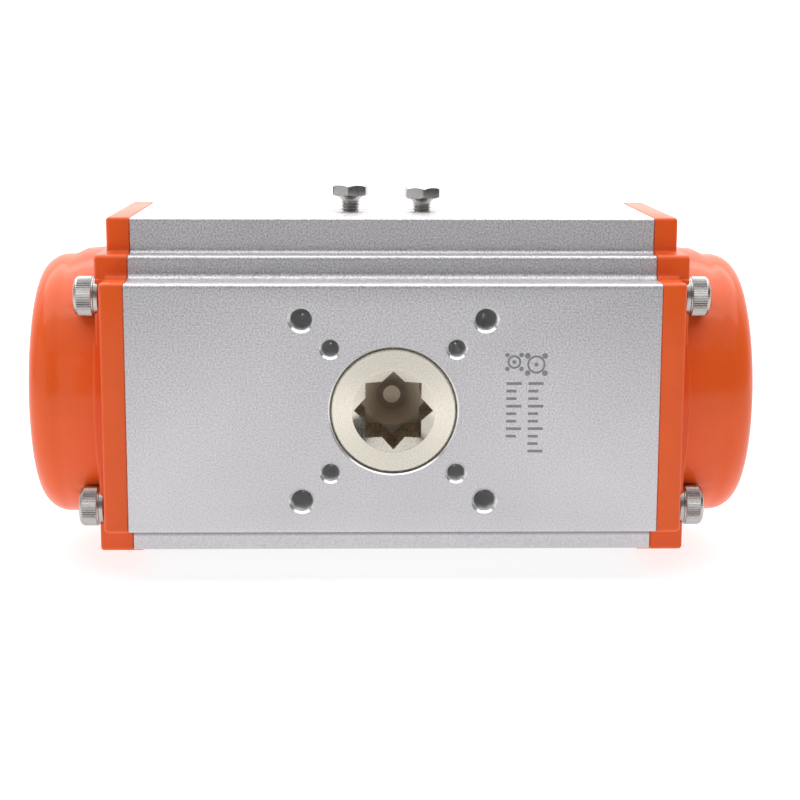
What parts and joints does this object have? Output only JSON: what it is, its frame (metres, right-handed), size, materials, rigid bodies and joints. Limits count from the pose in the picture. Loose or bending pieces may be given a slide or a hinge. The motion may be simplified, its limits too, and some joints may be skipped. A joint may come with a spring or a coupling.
{
  "type": "rotary pneumatic actuator",
  "caption": "Quarter-turn pneumatic actuator with rack-and-pinion drive, extruded body, orange end caps, star drive socket and travel stop bolts.",
  "frame": {"origin": "centre of the valve mounting face, on the drive axis", "axes": "+X along the cylinder, -Y out of the valve mounting face, +Z towards the stop bolts"},
  "size_m": [0.2936, 0.1688, 0.154],
  "materials": {
    "anodised": "matt blasted and clear anodised",
    "orange_paint": "glossy powder coat",
    "stainless": "machined stainless",
    "nickel": "nickel plated, turned",
    "cam_steel": "ground",
    "spring_steel": "dark phosphated",
    "diecast": "die cast, turned",
    "bearing_plastic": "moulded",
    "nitrile": "matt",
    "indicator_plastic": "moulded"
  },
  "bodies": {
    "housing": {"body": "anodised", "end_cap_left": "orange_paint", "end_cap_right": "orange_paint", "cap_seals": "nitrile", "duct_seals": "nitrile", "cap_screws": "stainless", "cap_screw_washers": "stainless"},
    "drive": {"pinion": "nickel", "stop_cam": "cam_steel", "pinion_lower_band": "bearing_plastic", "pinion_lower_oring": "nitrile", "pinion_upper_band": "bearing_plastic", "pinion_upper_oring": "nitrile", "inner_thrust_washer": "bearing_plastic", "outer_thrust_washer": "bearing_plastic", "steel_washer": "stainless", "circlip": "spring_steel", "indicator": "indicator_plastic", "indicator_screw": "stainless"},
    "left_piston": {"piston_left": "diecast", "piston_left_oring": "nitrile", "piston_left_band": "bearing_plastic", "piston_left_shoe": "bearing_plastic"},
    "right_piston": {"piston_right": "diecast", "piston_right_oring": "nitrile", "piston_right_band": "bearing_plastic", "piston_right_shoe": "bearing_plastic"},
    "left_stop": {"stop_bolt_left": "stainless"},
    "right_stop": {"stop_bolt_right": "stainless"}
  },
  "joints": [
    {"name": "drive_turn", "type": "hinge", "parent": "housing", "child": "drive", "pos_m": [0, 0.07, 0], "axis": [0, -1, 0], "range_deg": [0, 90]},
    {"name": "left_piston_slide", "type": "slide", "parent": "housing", "child": "left_piston", "axis": [-1, 0, 0], "range_m": [0, 0.0346]},
    {"name": "right_piston_slide", "type": "slide", "parent": "housing", "child": "right_piston", "axis": [1, 0, 0], "range_m": [0, 0.0346]},
    {"name": "left_stop_adjust", "type": "slide", "parent": "housing", "child": "left_stop", "axis": [0, 0, 1], "range_m": [0, 0.006]},
    {"name": "right_stop_adjust", "type": "slide", "parent": "housing", "child": "right_stop", "axis": [0, 0, 1], "range_m": [0, 0.006]}
  ],
  "couplings": [
    {"joint": "left_piston_slide", "follows": "drive_turn", "m_per_rad": 0.022},
    {"joint": "right_piston_slide", "follows": "drive_turn", "m_per_rad": 0.022}
  ]
}
